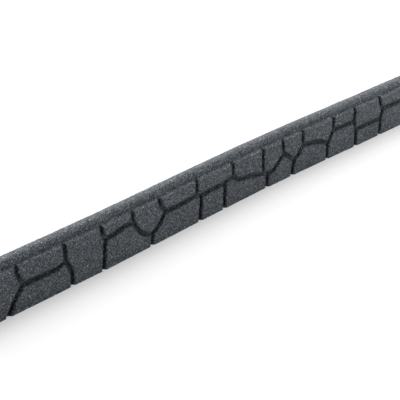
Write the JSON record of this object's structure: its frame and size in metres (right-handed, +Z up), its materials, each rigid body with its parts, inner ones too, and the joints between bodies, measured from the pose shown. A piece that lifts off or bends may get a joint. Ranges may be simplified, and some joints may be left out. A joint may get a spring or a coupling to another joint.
{
  "type": "garden edging strip",
  "caption": "Low garden edging strip moulded from rubber crumb, with a half-round cap and a front of stacked stones in relief; stands along a bed or lawn.",
  "frame": {"origin": "on the base, under the middle of the strip", "axes": "+X along the strip, +Y to its back, +Z up; the stones face -Y"},
  "size_m": [1.2004, 0.0408, 0.09],
  "materials": {
    "crumb_rubber": "matt bonded crumb, dark slate grey with scattered pale flecks"
  },
  "bodies": {
    "root": {"edging_strip": "crumb_rubber"}
  },
  "joints": []
}
